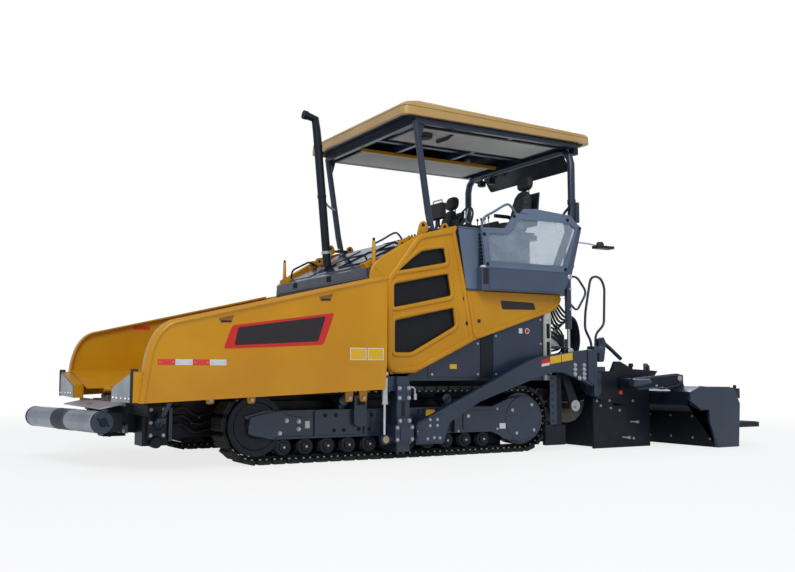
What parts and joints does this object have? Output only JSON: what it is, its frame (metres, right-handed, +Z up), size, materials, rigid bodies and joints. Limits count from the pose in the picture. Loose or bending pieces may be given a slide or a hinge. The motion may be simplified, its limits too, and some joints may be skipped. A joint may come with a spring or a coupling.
{
  "type": "tracked asphalt paver",
  "caption": "Tracked road paver with folding hopper wings, push rollers, conveyor, augers and an extending floating screed under a canopy.",
  "frame": {"origin": "middle of the bounding box, on the ground under the tracks", "axes": "+X forward to the hopper and push rollers, +Y to the machine's left, +Z up"},
  "size_m": [8.1956, 3.84, 4.0175],
  "materials": {
    "amber_paint": "semi-gloss amber machine paint",
    "steel_blue_paint": "satin dark blue-grey machine paint",
    "black_paint": "matt near-black chassis paint",
    "pale_grey_paint": "satin pale grey paint",
    "stainless": "brushed stainless steel",
    "worn_steel": "bare wear steel",
    "track_rubber": "dusty black track pads and links",
    "clear_glass": "clear safety glass",
    "seat_vinyl": "black seat vinyl"
  },
  "bodies": {
    "root": {"auger_carrier": "black_paint", "canopy_frame": "steel_blue_paint", "canopy_roof": "amber_paint", "chassis_frame": "black_paint", "conveyor_floor": "worn_steel", "engine_block": "black_paint", "engine_hood": "steel_blue_paint", "exhaust_pipe": "black_paint", "front_lip": "stainless", "hopper_back_wall": "black_paint", "platform_deck": "steel_blue_paint", "rear_panel_left": "amber_paint", "rear_panel_right": "amber_paint", "seat_left": "seat_vinyl", "seat_right": "seat_vinyl", "side_compartment_left": "steel_blue_paint", "side_compartment_right": "steel_blue_paint", "side_glass_left": "clear_glass", "side_glass_right": "clear_glass", "side_screen_left": "pale_grey_paint", "side_screen_right": "pale_grey_paint", "tow_guide_left": "steel_blue_paint", "tow_guide_right": "steel_blue_paint", "track_frame_left": "steel_blue_paint", "track_frame_right": "steel_blue_paint", "track_left": "track_rubber", "track_right": "track_rubber"},
    "push_beam": {"push_beam": "black_paint"},
    "tow_points": {"tow_point_left": "steel_blue_paint", "tow_point_right": "steel_blue_paint"},
    "screed": {"screed_base": "black_paint", "tow_arm_left": "steel_blue_paint", "tow_arm_right": "steel_blue_paint"},
    "hood_hatch": {"hood_hatch": "steel_blue_paint"},
    "push_roller_left": {"push_roller_left": "stainless"},
    "hopper_wing_left": {"hopper_wing_left": "amber_paint", "wing_deflector_left": "stainless"},
    "engine_door_left": {"engine_door_left": "amber_paint", "door_grille_left": "black_paint"},
    "auger_left": {"auger_left": "worn_steel"},
    "screed_extension_left": {"screed_extension_left": "black_paint", "end_gate_left": "steel_blue_paint"},
    "lift_barrel_left": {"lift_barrel_left": "steel_blue_paint"},
    "lift_rod_left": {"lift_rod_left": "stainless"},
    "push_roller_right": {"push_roller_right": "stainless"},
    "hopper_wing_right": {"hopper_wing_right": "amber_paint", "wing_deflector_right": "stainless"},
    "engine_door_right": {"engine_door_right": "amber_paint", "door_grille_right": "black_paint"},
    "auger_right": {"auger_right": "worn_steel"},
    "screed_extension_right": {"screed_extension_right": "black_paint", "end_gate_right": "steel_blue_paint"},
    "lift_barrel_right": {"lift_barrel_right": "steel_blue_paint"},
    "lift_rod_right": {"lift_rod_right": "stainless"}
  },
  "joints": [
    {"name": "push_beam_swing", "type": "hinge", "parent": "root", "child": "push_beam", "pos_m": [3.56725, 0, 0.43], "axis": [0, 0, 1], "range_deg": [-22.5, 1.5]},
    {"name": "push_roller_left_spin", "type": "hinge", "parent": "push_beam", "child": "push_roller_left", "pos_m": [3.83961, 0.05048, 0.43], "axis": [-0.1822, 0.9833, 0], "continuous": true},
    {"name": "push_roller_right_spin", "type": "hinge", "parent": "push_beam", "child": "push_roller_right", "pos_m": [3.83961, 0.05048, 0.43], "axis": [-0.1822, 0.9833, 0], "continuous": true},
    {"name": "hopper_wing_left_fold", "type": "hinge", "parent": "root", "child": "hopper_wing_left", "pos_m": [2.30225, 0.68, 0.7], "axis": [1, 0, 0], "range_deg": [0, 50]},
    {"name": "hopper_wing_right_fold", "type": "hinge", "parent": "root", "child": "hopper_wing_right", "pos_m": [2.30225, -0.68, 0.7], "axis": [-1, 0, 0], "range_deg": [0, 50]},
    {"name": "hood_hatch_hinge", "type": "hinge", "parent": "root", "child": "hood_hatch", "pos_m": [0.26906, 0.52, 2.4193], "axis": [0, -1, 0], "range_deg": [0, 60]},
    {"name": "engine_door_left_hinge", "type": "hinge", "parent": "root", "child": "engine_door_left", "pos_m": [1.05725, 1.25, 1.35], "axis": [0, 0, -1], "range_deg": [0, 90]},
    {"name": "engine_door_right_hinge", "type": "hinge", "parent": "root", "child": "engine_door_right", "pos_m": [1.05725, -1.25, 1.35], "axis": [0, 0, 1], "range_deg": [0, 90]},
    {"name": "auger_left_spin", "type": "hinge", "parent": "root", "child": "auger_left", "pos_m": [-1.64775, 0.64, 0.505], "axis": [0, 1, 0], "continuous": true},
    {"name": "auger_right_spin", "type": "hinge", "parent": "root", "child": "auger_right", "pos_m": [-1.64775, -0.64, 0.505], "axis": [0, 1, 0], "continuous": true},
    {"name": "tow_point_slide", "type": "slide", "parent": "root", "child": "tow_points", "axis": [0, 0, 1], "range_m": [-0.06, 0.15]},
    {"name": "screed_lift", "type": "hinge", "parent": "tow_points", "child": "screed", "pos_m": [0.60225, 0, 0.262], "axis": [0, 1, 0], "range_deg": [0, 6]},
    {"name": "screed_extension_left_slide", "type": "slide", "parent": "screed", "child": "screed_extension_left", "axis": [0, 1, 0], "range_m": [-0.26, 0.6]},
    {"name": "screed_extension_right_slide", "type": "slide", "parent": "screed", "child": "screed_extension_right", "axis": [0, -1, 0], "range_m": [-0.26, 0.6]},
    {"name": "lift_barrel_left_swing", "type": "hinge", "parent": "root", "child": "lift_barrel_left", "pos_m": [-1.51275, 1.316, 2.005], "axis": [0, -1, 0], "range_deg": [0, 8.99]},
    {"name": "lift_rod_left_slide", "type": "slide", "parent": "lift_barrel_left", "child": "lift_rod_left", "axis": [0, 0, 1], "range_m": [0, 0.20876]},
    {"name": "lift_barrel_right_swing", "type": "hinge", "parent": "root", "child": "lift_barrel_right", "pos_m": [-1.51275, -1.316, 2.005], "axis": [0, -1, 0], "range_deg": [0, 8.99]},
    {"name": "lift_rod_right_slide", "type": "slide", "parent": "lift_barrel_right", "child": "lift_rod_right", "axis": [0, 0, 1], "range_m": [0, 0.20876]}
  ],
  "couplings": [
    {"joint": "lift_barrel_left_swing", "follows": "screed_lift", "ratio": 1.4901},
    {"joint": "lift_rod_left_slide", "follows": "screed_lift", "m_per_rad": 1.9887},
    {"joint": "lift_barrel_right_swing", "follows": "screed_lift", "ratio": 1.4901},
    {"joint": "lift_rod_right_slide", "follows": "screed_lift", "m_per_rad": 1.9887}
  ]
}
